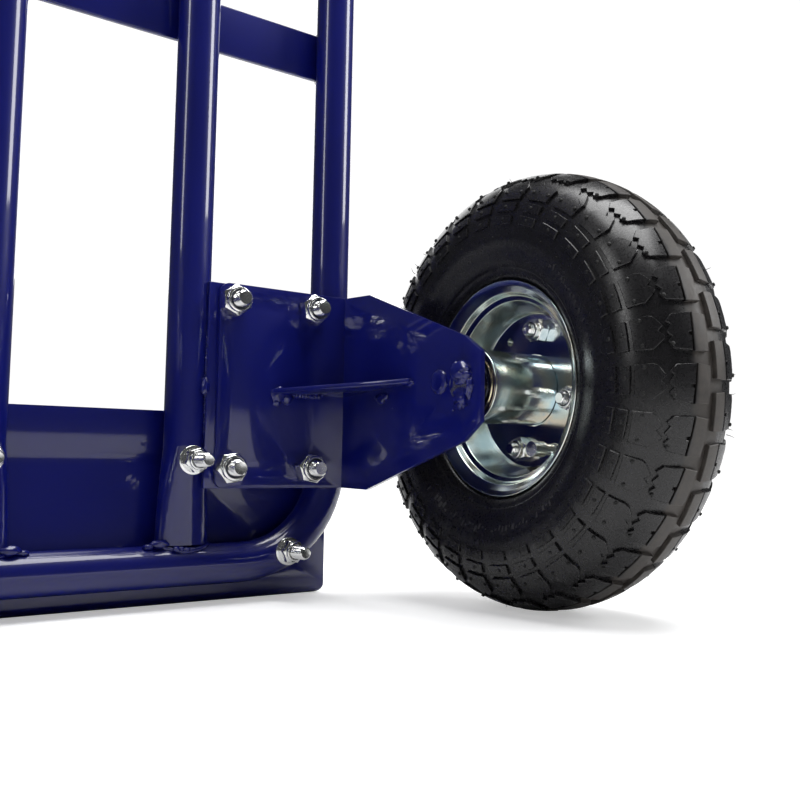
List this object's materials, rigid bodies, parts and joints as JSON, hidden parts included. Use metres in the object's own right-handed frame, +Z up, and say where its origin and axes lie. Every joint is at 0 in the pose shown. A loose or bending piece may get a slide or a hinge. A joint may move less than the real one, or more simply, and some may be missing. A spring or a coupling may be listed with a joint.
{
  "type": "hand truck",
  "caption": "Upright two-wheel hand truck with tubular frame, bent toe plate, bolted wheel brackets, pneumatic tyres and two rear handles.",
  "frame": {"origin": "centre of the footprint box, on the floor", "axes": "+Z up, load side and toe plate toward -Y, wheels and handles toward +Y, X across; right is -X"},
  "size_m": [0.5162, 0.4962, 1.1123],
  "materials": {
    "blue_paint": "gloss powder coat, deep royal blue",
    "zinc_fasteners": "bright zinc plate",
    "zinc_rim": "bright bluish zinc plate on pressed steel",
    "bright_steel": "turned bar",
    "bearing_steel": "ground, faint yellow passivate",
    "seal_rubber": "moulded seal",
    "tyre_rubber": "new moulded rubber, slight gloss",
    "tube_rubber": "butyl",
    "grip_rubber": "moulded, matt"
  },
  "bodies": {
    "frame": {"outer_frame_tube": "blue_paint", "inner_loop_tube": "blue_paint", "cross_strap_lower": "blue_paint", "cross_strap_middle": "blue_paint", "cross_strap_upper": "blue_paint", "toe_plate": "blue_paint", "mounting_plate_right": "blue_paint", "mounting_plate_left": "blue_paint", "wheel_bracket_right": "blue_paint", "wheel_bracket_left": "blue_paint", "bracket_gusset_right": "blue_paint", "bracket_gusset_left": "blue_paint", "stub_axle_right": "bright_steel", "stub_axle_left": "bright_steel", "handle_grip_right": "grip_rubber", "handle_grip_left": "grip_rubber", "bracket_bolts": "zinc_fasteners", "bracket_nuts": "zinc_fasteners", "toe_bolts": "zinc_fasteners", "toe_washers": "zinc_fasteners", "toe_nuts": "zinc_fasteners", "axle_spacers": "zinc_fasteners", "axle_washers": "zinc_fasteners", "split_pins": "zinc_fasteners", "bearing_inner_rings": "bearing_steel", "bracket_rivets": "blue_paint", "rail_welds": "blue_paint", "plate_welds": "blue_paint", "strap_welds": "blue_paint", "gusset_welds": "blue_paint", "axle_welds": "blue_paint"},
    "right_wheel": {"tyre_right": "tyre_rubber", "inner_tube_right": "tube_rubber", "rim_half_inner_right": "zinc_rim", "rim_half_outer_right": "zinc_rim", "hub_tube_right": "zinc_rim", "bearing_outer_rings_right": "bearing_steel", "bearing_balls_right": "bearing_steel", "bearing_seals_right": "seal_rubber", "rim_bolts_right": "zinc_fasteners", "rim_nuts_right": "zinc_fasteners", "valve_stem_right": "zinc_fasteners", "valve_cap_right": "zinc_fasteners"},
    "left_wheel": {"tyre_left": "tyre_rubber", "inner_tube_left": "tube_rubber", "rim_half_inner_left": "zinc_rim", "rim_half_outer_left": "zinc_rim", "hub_tube_left": "zinc_rim", "bearing_outer_rings_left": "bearing_steel", "bearing_balls_left": "bearing_steel", "bearing_seals_left": "seal_rubber", "rim_bolts_left": "zinc_fasteners", "rim_nuts_left": "zinc_fasteners", "valve_stem_left": "zinc_fasteners", "valve_cap_left": "zinc_fasteners"}
  },
  "joints": [
    {"name": "right_wheel_spin", "type": "hinge", "parent": "frame", "child": "right_wheel", "pos_m": [-0.2165, 0.1171, 0.131], "axis": [1, 0, 0], "continuous": true},
    {"name": "left_wheel_spin", "type": "hinge", "parent": "frame", "child": "left_wheel", "pos_m": [0.2165, 0.1171, 0.131], "axis": [1, 0, 0], "continuous": true}
  ]
}
